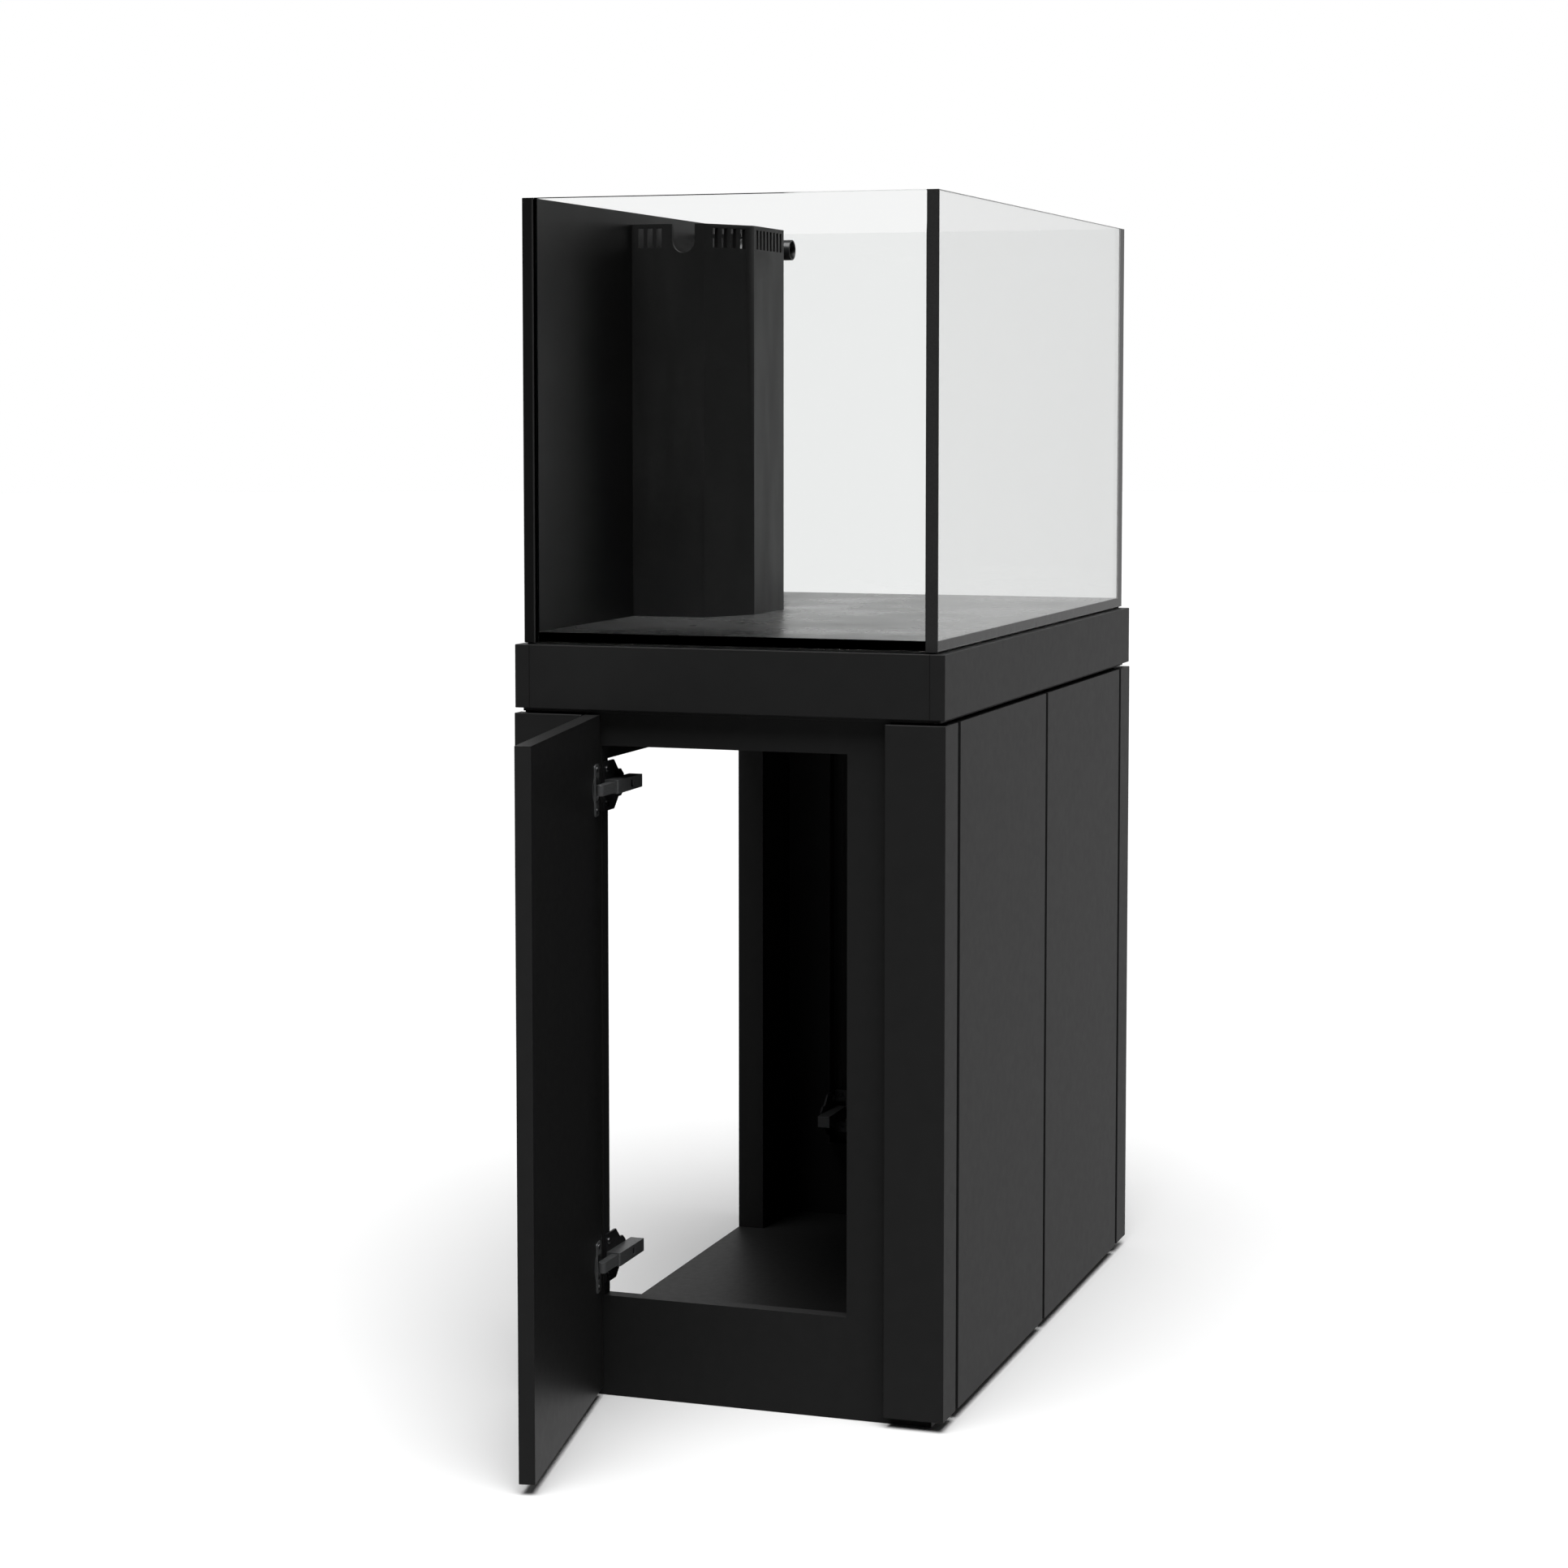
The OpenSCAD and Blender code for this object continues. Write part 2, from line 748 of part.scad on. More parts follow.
// Outline of a mounting plate: two wings, stepped down to the tail
module plate_outline() {
    half = [[arm_y1, plate_wing_z], [-33, plate_wing_z], [-47, plate_tail_z], [-55, plate_tail_z],
            [-64, plate_tip_z]];
    polygon(concat(half, [for (i = [len(half) - 1 : -1 : 0]) [half[i][0], -half[i][1]]]));
}

module hinge_plates() {
    color("dimgray")
    at_each_door()
    for (z = hinge_z)
        translate([jamb_x, 0, z])
        difference() {
            rotate([90, 0, 90]) linear_extrude(plate_t) plate_outline();
            for (s = [-1, 1])
                translate([0, plate_screw_y, s * plate_screw_z]) bar_x(plate_screw_r, -1, plate_t + 1);
        }
}

module plate_screws() {
    color("silver")
    at_each_door()
    for (z = hinge_z, s = [-1, 1])
        translate([jamb_x + plate_t, plate_screw_y, z + s * plate_screw_z]) {
            bar_x(plate_screw_r, -plate_screw_len, 0);
            bar_x(plate_screw_head_r, 0, plate_screw_head_t);
        }
}

// The fixed arm: a channel that the link slides in, with a slot in its face
module hinge_arms() {
    color("dimgray")
    at_each_door()
    for (z = hinge_z)
        translate([0, 0, z])
        difference() {
            block([jamb_x + plate_t, arm_y0, -arm_h / 2], [arm_x1, arm_y1, arm_h / 2]);
            block([link_x0 - link_gap, link_tail - tail_gap, -arm_h / 2 + arm_t],
                  [link_x1 + link_gap, arm_y1 + 1, arm_h / 2 - arm_t]);
            block([link_x1, arm_slot[0][0], arm_slot[0][1]], [arm_x1 + 1, arm_slot[1][0], arm_slot[1][1]]);
        }
}

module left_side_door() at_left_side() swung(rest_open) door_panel(side_door_w);
module left_side_cups() at_left_side() swung(rest_open) cups();
module left_side_cup_screws() at_left_side() swung(rest_open) cup_screws();
module left_side_links() at_left_side() links(link_rate * rest_open);

module right_side_door() at_right_side() door_panel(side_door_w);
module right_side_cups() at_right_side() cups();
module right_side_cup_screws() at_right_side() cup_screws();
module right_side_links() at_right_side() links(0);

module front_left_door() at_front_left() door_panel(front_door_w);
module front_left_cups() at_front_left() cups();
module front_left_cup_screws() at_front_left() cup_screws();
module front_left_links() at_front_left() links(0);

module front_right_door() at_front_right() door_panel(front_door_w);
module front_right_cups() at_front_right() cups();
module front_right_cup_screws() at_front_right() cup_screws();
module front_right_links() at_front_right() links(0);

// ---------------------------------------------------------------- drawing

front_pane();
back_pane();
left_pane();
right_pane();
bottom_pane();
silicone_seams();
levelling_mat();
overflow_box();
drain_standpipe();
emergency_standpipe();
return_riser();
return_sleeve();
return_nozzle();
bulkheads();
bulkhead_gaskets();
bulkhead_nuts();
tray_front_board();
tray_rear_board();
tray_left_board();
tray_right_board();
tray_deck();
tray_bearers();
spacer_board();
top_panel();
base_panel();
left_side_frame();
right_side_frame();
front_frame();
left_rear_post();
right_rear_post();
rear_rail();
front_left_corner();
front_right_corner();
left_rear_strip();
right_rear_strip();
hinge_plates();
plate_screws();
hinge_arms();
left_side_door();
left_side_cups();
left_side_cup_screws();
left_side_links();
right_side_door();
right_side_cups();
right_side_cup_screws();
right_side_links();
front_left_door();
front_left_cups();
front_left_cup_screws();
front_left_links();
front_right_door();
front_right_cups();
front_right_cup_screws();
front_right_links();
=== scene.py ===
"""Looks of the rimless aquarium on its cabinet stand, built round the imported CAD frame. Metres, +Z up."""

import json
import math

import bmesh
import bpy
from mathutils import Matrix, Vector


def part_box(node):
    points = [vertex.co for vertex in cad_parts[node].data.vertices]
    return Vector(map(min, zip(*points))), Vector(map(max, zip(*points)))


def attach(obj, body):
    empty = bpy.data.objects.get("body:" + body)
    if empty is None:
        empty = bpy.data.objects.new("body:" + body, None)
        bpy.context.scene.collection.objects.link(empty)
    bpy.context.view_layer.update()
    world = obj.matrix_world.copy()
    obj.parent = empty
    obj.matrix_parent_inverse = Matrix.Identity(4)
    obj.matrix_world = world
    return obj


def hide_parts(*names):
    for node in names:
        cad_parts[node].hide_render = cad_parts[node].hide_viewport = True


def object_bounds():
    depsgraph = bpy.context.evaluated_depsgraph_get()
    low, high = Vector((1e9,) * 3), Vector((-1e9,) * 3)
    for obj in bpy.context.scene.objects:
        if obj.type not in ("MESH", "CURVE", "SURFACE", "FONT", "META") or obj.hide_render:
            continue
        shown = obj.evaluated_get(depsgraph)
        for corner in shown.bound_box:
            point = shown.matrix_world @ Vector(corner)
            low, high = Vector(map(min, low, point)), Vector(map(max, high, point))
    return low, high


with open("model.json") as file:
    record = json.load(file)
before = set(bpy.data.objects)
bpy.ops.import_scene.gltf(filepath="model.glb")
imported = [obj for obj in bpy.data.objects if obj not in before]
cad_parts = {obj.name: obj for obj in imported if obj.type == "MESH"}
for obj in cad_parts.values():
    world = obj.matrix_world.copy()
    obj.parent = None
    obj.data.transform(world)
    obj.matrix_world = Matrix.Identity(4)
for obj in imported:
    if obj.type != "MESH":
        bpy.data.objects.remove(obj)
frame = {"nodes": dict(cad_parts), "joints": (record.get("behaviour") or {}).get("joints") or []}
CAD_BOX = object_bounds()
NODES = frame["nodes"]
MM = 0.001

# ---------------------------------------------------------------- camera and studio

CAMERA_PLACE = (-4.0074, -1.2839, 1.1637)
CAMERA_HEADING = 71.146  # degrees from +Y towards +X
CAMERA_PITCH = 4.377  # degrees down
CAMERA_LENS = 76.45
CAMERA_SHIFT = -0.08
WHITE = (1.0, 1.0, 1.0, 1.0)
ROOM_BRIGHT_SIDE = (0.95, 0.31, 0.0)  # towards the room's large window light
ROOM_BRIGHT = 0.62  # what surfaces receive from that side; the backdrop itself is white
ROOM_FALLOFF = 4.0
GLASS_GAIN = 0.5  # how much more of the room surfaces behind glass receive
FLOOR_RADIUS = 40.0
FLOOR_DROP = 0.0005  # how far the floor lies below the feet
SUN_ENERGY = 3.9
SUN_AIM = (0.35, 0.12, -1)
SUN_SPREAD = 50  # degrees


def add_camera():
    data = bpy.data.cameras.new("camera")
    data.lens = CAMERA_LENS
    data.shift_y = CAMERA_SHIFT
    camera = bpy.data.objects.new("camera", data)
    camera.location = CAMERA_PLACE
    camera.rotation_euler = (math.radians(90 - CAMERA_PITCH), 0, math.radians(-CAMERA_HEADING))
    bpy.context.scene.collection.objects.link(camera)
    bpy.context.scene.camera = camera


def add_softbox():
    data = bpy.data.lights.new("top_softbox", "SUN")
    data.energy = SUN_ENERGY
    data.angle = math.radians(SUN_SPREAD)
    light = bpy.data.objects.new("top_softbox", data)
    light.rotation_euler = Vector(SUN_AIM).to_track_quat("-Z", "Y").to_euler()
    bpy.context.scene.collection.objects.link(light)


def add_room():
    """White where it is seen, directly or through glass; lights the object as a dimmer room does."""
    world = bpy.data.worlds.new("room")
    world.use_nodes = True
    tree = world.node_tree
    background = tree.nodes["Background"]
    background.inputs["Color"].default_value = WHITE
    direction = tree.nodes.new("ShaderNodeTexCoord").outputs["Generated"]
    facing = tree.nodes.new("ShaderNodeVectorMath")
    facing.operation = "DOT_PRODUCT"
    facing.inputs[1].default_value = ROOM_BRIGHT_SIDE
    tree.links.new(direction, facing.inputs[0])

    def math_node(operation, *values):
        node = tree.nodes.new("ShaderNodeMath")
        node.operation = operation
        for socket, value in zip(node.inputs, values):
            if isinstance(value, float):
                socket.default_value = value
            else:
                tree.links.new(value, socket)
        return node.outputs["Value"]

    half = math_node("MULTIPLY", math_node("ADD", facing.outputs["Value"], 1.0), 0.5)
    room = math_node("MULTIPLY", math_node("POWER", half, ROOM_FALLOFF), ROOM_BRIGHT)
    rays = tree.nodes.new("ShaderNodeLightPath").outputs
    gain = math_node("MULTIPLY_ADD", rays["Is Transmission Ray"], GLASS_GAIN, 1.0)
    room = math_node("MULTIPLY", room, gain)
    bounces = math_node("ADD", rays["Diffuse Depth"], rays["Glossy Depth"])
    through_glass = math_node("MULTIPLY", rays["Is Transmission Ray"], math_node("LESS_THAN", bounces, 0.5))
    seen = math_node("MAXIMUM", rays["Is Camera Ray"], through_glass)
    tree.links.new(math_node("MAXIMUM", seen, room), background.inputs["Strength"])
    bpy.context.scene.world = world
    bpy.context.scene.view_settings.view_transform = "Standard"


def add_floor():
    mesh = bpy.data.meshes.new("studio_floor")
    shape = bmesh.new()
    bmesh.ops.create_circle(shape, cap_ends=True, segments=96, radius=FLOOR_RADIUS)
    shape.to_mesh(mesh)
    shape.free()
    floor = bpy.data.objects.new("studio_floor", mesh)
    floor.location.z = CAD_BOX[0].z - FLOOR_DROP
    floor.visible_glossy = False
    floor.visible_transmission = False
    bpy.context.scene.collection.objects.link(floor)
    look = Look("pale_floor", (0.92, 0.92, 0.92), 0.9)
    look.vary_roughness(0.85, 0.95, scale=3)
    mesh.materials.append(look.material)


# ---------------------------------------------------------------- materials


NOISE_MIDDLE = (0.3, 0.7)


class Look:
    """A material round one Principled shader, with helpers for procedural detail in object space."""

    def __init__(self, name, colour, roughness, **sockets):
        self.material = bpy.data.materials.new(name)
        self.material.use_nodes = True
        self.tree = self.material.node_tree
        self.shader = self.tree.nodes["Principled BSDF"]
        self.shader.inputs["Base Color"].default_value = (*colour, 1)
        self.shader.inputs["Roughness"].default_value = roughness
        for socket, value in sockets.items():
            self.shader.inputs[socket.replace("_", " ")].default_value = value
        self.place = self.tree.nodes.new("ShaderNodeTexCoord").outputs["Object"]

    def noise(self, scale, detail, stretch=(1, 1, 1)):
        mapping = self.tree.nodes.new("ShaderNodeMapping")
        mapping.inputs["Scale"].default_value = stretch
        self.tree.links.new(self.place, mapping.inputs["Vector"])
        noise = self.tree.nodes.new("ShaderNodeTexNoise")
        noise.inputs["Scale"].default_value = scale
        noise.inputs["Detail"].default_value = detail
        self.tree.links.new(mapping.outputs["Vector"], noise.inputs["Vector"])
        return noise.outputs["Fac"]

    def cells(self, scale):
        cells = self.tree.nodes.new("ShaderNodeTexVoronoi")
        cells.inputs["Scale"].default_value = scale
        self.tree.links.new(self.place, cells.inputs["Vector"])
        return cells.outputs["Distance"]

    def spread(self, source, low, high):
        """Maps the middle of a noise's values onto a range."""
        spread = self.tree.nodes.new("ShaderNodeMapRange")
        spread.inputs["From Min"].default_value, spread.inputs["From Max"].default_value = NOISE_MIDDLE
        spread.inputs["To Min"].default_value = low
        spread.inputs["To Max"].default_value = high
        self.tree.links.new(source, spread.inputs["Value"])
        return spread.outputs["Result"]

    def vary_roughness(self, low, high, scale, stretch=(1, 1, 1)):
        source = self.spread(self.noise(scale, 4, stretch), low, high)
        self.tree.links.new(source, self.shader.inputs["Roughness"])

    def vary_colour(self, dark, light, source):
        mix = self.tree.nodes.new("ShaderNodeMix")
        mix.data_type = "RGBA"
        mix.inputs["A"].default_value = (*dark, 1)
        mix.inputs["B"].default_value = (*light, 1)
        self.tree.links.new(source, mix.inputs["Factor"])
        self.tree.links.new(mix.outputs["Result"], self.shader.inputs["Base Color"])

    def bump(self, height, strength, distance):
        bump = self.tree.nodes.new("ShaderNodeBump")
        bump.inputs["Strength"].default_value = strength
        bump.inputs["Distance"].default_value = distance
        self.tree.links.new(height, bump.inputs["Height"])
        self.tree.links.new(bump.outputs["Normal"], self.shader.inputs["Normal"])


def lacquered_board():
    """Sprayed satin black: a faint orange-peel ripple, and haze in its sheen."""
    look = Look("satin_black_lacquer", (0.015, 0.015, 0.015), 0.42, IOR=1.38)
    look.vary_colour((0.0135, 0.0135, 0.0136), (0.0165, 0.0165, 0.0166), look.noise(40, 5))
    look.vary_roughness(0.405, 0.435, scale=90)
    look.bump(look.noise(650, 2), 0.10, 0.1 * MM)
    return look


def carcass_board():
    """Black melamine with a fine pearl grain."""
    look = Look("black_melamine", (0.013, 0.013, 0.013), 0.5, IOR=1.38)
    look.vary_colour((0.0115, 0.0115, 0.0116), (0.0145, 0.0145, 0.0146), look.noise(60, 5))
    look.vary_roughness(0.48, 0.53, scale=110)
    look.bump(look.noise(1400, 3), 0.22, 0.12 * MM)
    return look


def clear_glass():
    """Polished low-iron float glass with a trace of wiping haze and a very slow waviness."""
    look = Look("clear_glass", (0.985, 0.992, 0.989), 0.0, IOR=1.5, Transmission_Weight=1.0)
    look.vary_roughness(0.0, 0.012, scale=5)
    look.bump(look.noise(2.5, 1), 0.02, 1 * MM)
    return look


def black_glass():
    """Smoked base glass with a satin face: dark, with a soft sheen, wiping marks in its satin, and broad
    patches of painted light in its colour.
    """
    look = Look("black_glass", (0.09, 0.09, 0.09), 0.28, IOR=1.5)
    # painted light: the colour turns lighter and darker in broad patches, standing in for light patterns
    # falling through the glass onto the pane
    look.vary_colour((0.075, 0.075, 0.075), (0.105, 0.105, 0.105), look.noise(9, 2))
    look.vary_roughness(0.22, 0.34, scale=7)
    look.bump(look.noise(3, 1), 0.03, 1 * MM)
    return look


def painted_glass():
    """The inner face of the black back pane: a satin black film."""
    look = Look("black_film_glass", (0.006, 0.006, 0.006), 0.38, IOR=1.45)
    look.vary_roughness(0.34, 0.42, scale=6)
    look.bump(look.noise(900, 2), 0.08, 0.05 * MM)
    return look


def silicone():
    """Black neutral silicone, tooled smooth, with small drag marks along the bead."""
    look = Look("black_silicone", (0.022, 0.022, 0.022), 0.4, IOR=1.4)
    look.vary_colour((0.014, 0.014, 0.014), (0.032, 0.032, 0.032), look.noise(500, 3))
    look.vary_roughness(0.26, 0.4, scale=60, stretch=(1, 1, 0.1))
    look.bump(look.noise(260, 3, (1, 1, 0.15)), 0.25, 0.2 * MM)
    return look


def foam_mat():
    """Closed-cell foam, black, with open pores on its cut edges."""
    look = Look("levelling_foam", (0.02, 0.02, 0.02), 0.95)
    look.vary_colour((0.010, 0.010, 0.010), (0.035, 0.035, 0.035), look.cells(900))
    look.bump(look.cells(900), 0.7, 0.4 * MM)
    return look


def weir_plastic():
    """Black rigid sheet plastic with a fine matt grain from its extrusion."""
    look = Look("black_sheet_plastic", (0.014, 0.014, 0.014), 0.45, IOR=1.6)
    look.vary_colour((0.010, 0.010, 0.010), (0.016, 0.016, 0.016), look.noise(40, 4))
    look.vary_roughness(0.4, 0.5, scale=30, stretch=(1, 1, 0.2))
    look.bump(look.noise(1800, 2), 0.3, 0.08 * MM)
    return look


def pipe_plastic():
    """Moulded dark pipe plastic, slightly mottled, smoother than the sheet."""
    look = Look("dark_pipe_plastic", (0.02, 0.021, 0.022), 0.34, IOR=1.5)
    look.vary_colour((0.014, 0.0145, 0.015), (0.026, 0.027, 0.028), look.noise(70, 4))
    look.vary_roughness(0.28, 0.4, scale=45)
    look.bump(look.noise(500, 3), 0.18, 0.12 * MM)
    return look


def hinge_steel():
    """Dark nickel plating on pressed steel: rolled grain under a soft metal sheen."""
    look = Look("dark_nickel_steel", (0.13, 0.133, 0.135), 0.42, Metallic=0.5)
    look.vary_colour((0.105, 0.108, 0.11), (0.155, 0.158, 0.16), look.noise(160, 5, (1, 1, 6)))
    look.vary_roughness(0.32, 0.46, scale=220, stretch=(1, 1, 8))
    look.bump(look.noise(900, 3, (1, 1, 5)), 0.15, 0.05 * MM)
    return look


def plate_steel():
    """The mounting plates: the same steel with a black coat."""
    look = Look("black_coated_steel", (0.012, 0.012, 0.013), 0.42, IOR=1.45)
    look.vary_roughness(0.36, 0.5, scale=200)
    look.bump(look.noise(1200, 3), 0.2, 0.06 * MM)
    return look


def screw_steel():
    """Screws in black nickel, brighter where the driver bears."""
    look = Look("black_nickel_screws", (0.3, 0.3, 0.31), 0.3, Metallic=1.0)
    look.vary_colour((0.2, 0.2, 0.205), (0.42, 0.42, 0.43), look.noise(500, 4))
    look.vary_roughness(0.24, 0.4, scale=600)
    return look


DOORS = ("left_side", "right_side", "front_left", "front_right")
FINISHES = [
    (clear_glass, "glass", ["front_pane", "left_pane", "right_pane"]),
    (black_glass, "black_glass", ["bottom_pane"]),
    (painted_glass, "black_glass", ["back_pane"]),
    (silicone, "silicone", ["silicone_seams", "bulkhead_gaskets"]),
    (foam_mat, "foam_mat", ["levelling_mat"]),
    (weir_plastic, "weir_plastic", ["overflow_box"]),
    (pipe_plastic, "pipe_plastic", [
        "drain_standpipe", "emergency_standpipe", "return_riser", "return_sleeve", "return_nozzle",
        "bulkheads", "bulkhead_nuts"]),
    (lacquered_board, "lacquered_board", [
        "tray_front_board", "tray_rear_board", "tray_left_board", "tray_right_board",
        "front_left_corner", "front_right_corner", "left_rear_strip", "right_rear_strip",
        *(f"{door}_door" for door in DOORS)]),
    (carcass_board, "carcass_board", [
        "tray_deck", "tray_bearers", "spacer_board", "top_panel", "base_panel", "left_side_frame",
        "right_side_frame", "front_frame", "left_rear_post", "right_rear_post", "rear_rail"]),
    (hinge_steel, "hinge_steel", [
        "hinge_arms", *(f"{door}_cups" for door in DOORS), *(f"{door}_links" for door in DOORS)]),
    (plate_steel, "hinge_steel", ["hinge_plates"]),
    (screw_steel, "screw_steel", ["plate_screws", *(f"{door}_cup_screws" for door in DOORS)]),
]
EDGE_ROUND = {  # radius of the eased edges, in millimetres
    "glass": 0.8, "black_glass": 0.8, "silicone": 0.3, "foam_mat": 0.3, "weir_plastic": 0.5,
    "pipe_plastic": 0.5, "lacquered_board": 0.9, "carcass_board": 0.6, "hinge_steel": 0.35,
    "screw_steel": 0.3,
}


WELD_REACH = 0.01 * MM
FLAT_ANGLE = 0.5  # degrees between faces that count as one
NODE_EDGE_ANGLE, PIECE_EDGE_ANGLE = 40, 35  # the least turn, in degrees, that is eased as an edge


def ease_edges(thing, radius, least_angle):
    ease = thing.modifiers.new("eased_edges", "BEVEL")
    ease.width = radius
    ease.segments = 2
    ease.limit_method = "ANGLE"
    ease.angle_limit = math.radians(least_angle)
    ease.harden_normals = True


def join_triangles(node):
    """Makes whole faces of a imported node, which arrives as split triangles."""
    weld = node.modifiers.new("weld", "WELD")
    weld.merge_threshold = WELD_REACH
    flat = node.modifiers.new("flat_faces", "DECIMATE")
    flat.decimate_type = "DISSOLVE"
    flat.angle_limit = math.radians(FLAT_ANGLE)


def finish_nodes():
    """Gives every CAD node its material and eased edges; returns the looks by their makers."""
    looks = {}
    for make, slot, names in FINISHES:
        look = looks[make] = make()
        for name in names:
            node = NODES[name]
            node.data.materials.clear()
            node.data.materials.append(look.material)
            join_triangles(node)
            ease_edges(node, EDGE_ROUND[slot] * MM, NODE_EDGE_ANGLE)
    return looks


# ---------------------------------------------------------------- mesh helpers


def prism(outline, low, high):
    """A closed prism over a plan outline that runs anticlockwise."""
    shape = bmesh.new()
    bottom, top = ([shape.verts.new((x, y, z)) for x, y in outline] for z in (low, high))
    shape.faces.new(bottom[::-1])
    shape.faces.new(top)
    for i in range(len(outline)):
        j = (i + 1) % len(outline)
        shape.faces.new((bottom[i], bottom[j], top[j], top[i]))
    return shape


def ring(shape, radius, height, segments):
    turns = (2 * math.pi * k / segments for k in range(segments))
    return [shape.verts.new((radius * math.cos(a), radius * math.sin(a), height)) for a in turns]


def lathe(profile, segments):
    """A solid turned about Z from (radius, height) pairs that start and end on the axis."""
    shape = bmesh.new()
    rings = []
    for radius, height in profile:
        rings.append(ring(shape, radius, height, segments if radius else 1))
    for one, two in zip(rings, rings[1:]):
        for k in range(segments):
            m = (k + 1) % segments
            corners = (one[k % len(one)], one[m % len(one)], two[m % len(two)], two[k % len(two)])
            shape.faces.new(dict.fromkeys(corners))
    bmesh.ops.recalc_face_normals(shape, faces=shape.faces)
    return shape


def arc(centre, radius, start, end, steps):
    """Points along an arc, angles in degrees."""
    turns = (math.radians(start + (end - start) * k / steps) for k in range(steps + 1))
    return [(centre[0] + radius * math.cos(a), centre[1] + radius * math.sin(a)) for a in turns]


def cross_head_screw(head_radius, head_height, shank_radius, shank_length):
    """A pan-head screw along +Z with a cross recess; its head stands on z = 0."""
    segments = 32
    recess = 0.62 * head_height
    shape = bmesh.new()

    def cross(reach, width, height):
        quarter = [(reach, -width), (reach, width), (width, width)]
        points = []
        for cosine, sine in ((1, 0), (0, 1), (-1, 0), (0, -1)):
            points += [(x * cosine - y * sine, x * sine + y * cosine) for x, y in quarter]
        return [shape.verts.new((x, y, height)) for x, y in points]

    def skin(one, two):
        for k in range(len(one)):
            m = (k + 1) % len(one)
            shape.faces.new((one[k], one[m], two[m], two[k]))

    profile = [
        (0.4 * shank_radius, -shank_length), (shank_radius, -0.85 * shank_length), (shank_radius, 0),
        (head_radius, 0), (head_radius, 0.4 * head_height), (0.9 * head_radius, 0.78 * head_height),
        (0.7 * head_radius, head_height)]
    rings = [ring(shape, radius, height, segments) for radius, height in profile]
    shape.faces.new(rings[0][::-1])
    for one, two in zip(rings, rings[1:]):
        skin(one, two)
    mouth = cross(0.58 * head_radius, 0.13 * head_radius, head_height)
    floor = cross(0.4 * head_radius, 0.09 * head_radius, head_height - recess)
    rim = rings[-1]
    edges = [shape.edges.get((rim[k], rim[(k + 1) % segments])) for k in range(segments)]
    edges += [shape.edges.new((mouth[k], mouth[(k + 1) % len(mouth)])) for k in range(len(mouth))]
    bmesh.ops.triangle_fill(shape, edges=edges, use_beauty=True)
    skin(mouth, floor)
    shape.faces.new(floor)
    bmesh.ops.recalc_face_normals(shape, faces=shape.faces)
    return shape


def carve(solid, *tools):
    """The solid with every tool cut out of it."""
    made = []
    for shape in (solid, *tools):
        mesh = bpy.data.meshes.new("carving")
        shape.to_mesh(mesh)
        shape.free()
        thing = bpy.data.objects.new("carving", mesh)
        bpy.context.scene.collection.objects.link(thing)
        made.append(thing)
    for tool in made[1:]:
        cut = made[0].modifiers.new("cut", "BOOLEAN")
        cut.operation = "DIFFERENCE"
        cut.solver = "EXACT"
        cut.object = tool
    result = bmesh.new()
    result.from_object(made[0], bpy.context.evaluated_depsgraph_get())
    for thing in made:
        bpy.data.objects.remove(thing)
    return result


def piece(name, parts, look, body, stands_for, edge=0.0):
    """One shown piece from (shape, place) pairs in millimetres, on a body in place of a CAD node."""
    mesh = bpy.data.meshes.new(name)
    whole = bmesh.new()
    for shape, place in parts:
        part = bpy.data.meshes.new("part")
        shape.to_mesh(part)
        part.transform(place)
        if place.determinant() < 0:
            part.flip_normals()
        whole.from_mesh(part)
        bpy.data.meshes.remove(part)
    whole.to_mesh(mesh)
    whole.free()
    mesh.transform(Matrix.Scale(MM, 4))
    mesh.materials.append(look.material)
    thing = bpy.data.objects.new(name, mesh)
    bpy.context.scene.collection.objects.link(thing)
    if edge:
        ease_edges(thing, edge * MM, PIECE_EDGE_ANGLE)
    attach(thing, body)
    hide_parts(stands_for)


# ---------------------------------------------------------------- hinges

PIVOT = (3, 15)  # a door's axis in its hinge frame: from the hinge edge, and from the inner face
JOINTS = {joint["name"]: joint for joint in frame["joints"]}
REST_OPEN = -JOINTS["left_side_door_hinge"]["range_deg"][0]  # the left side door, in degrees
HINGE_ENDS = 30  # from a cup flange's end to its middle
PLATE_FACE = 17.5
PLATE_SCREW_Y, PLATE_SCREW_Z = -10.2, 20
PLATE_SCREW = (4.2, 1.8, 1.95, 22)  # head radius and height, shank radius and length
CUP_SCREW = (3.4, 1.2, 1.75, 10)
ARM_FACE = 34.5
ARM_NOSE, ARM_TAIL = -3, -80
LINK_SIDES = (23, 32)
LINK_TAIL = -54
TAIL_GAP = 2
ARM_HALF = 8
ARM_NOSE_R = 2
TAIL_TAPER = 0.95
ARM_SLOT = (-52, -44)
ARM_SLOT_HALF = 4.1
LINK_HALF = 6.3
LINK_GAP = 0.3
KNUCKLE_Y = 1
KNUCKLE_R = 4
CUP_X = 26
CUP_R = 17.5
CUP_DEPTH = 11.5
CUP_WALL = 1
RIM_W = 1
FLANGE_HALF = 10.5
FLANGE_CORNER = 4.5
FLANGE_MOUTH = 6.6  # how far past the cup's middle the opening for the link reaches
FLANGE_LAPS = (13, 15.5)  # half the opening's height at the hinge side, and at its far side
FLANGE_SHEET = 1.5
CUP_SCREW_Z = 24
LINK_EDGE, CUP_EDGE, ARM_EDGE = 0.35, 0.25, 0.5  # eased edges
RIVET_SIDES, CUP_SIDES = 20, 56
UP = Vector((0, 0, 1))
ALONG_Y = Matrix.Rotation(math.radians(-90), 4, "X")
AGAINST_Y = Matrix.Rotation(math.radians(90), 4, "X")
ALONG_X = Matrix.Rotation(math.radians(90), 4, "Y")


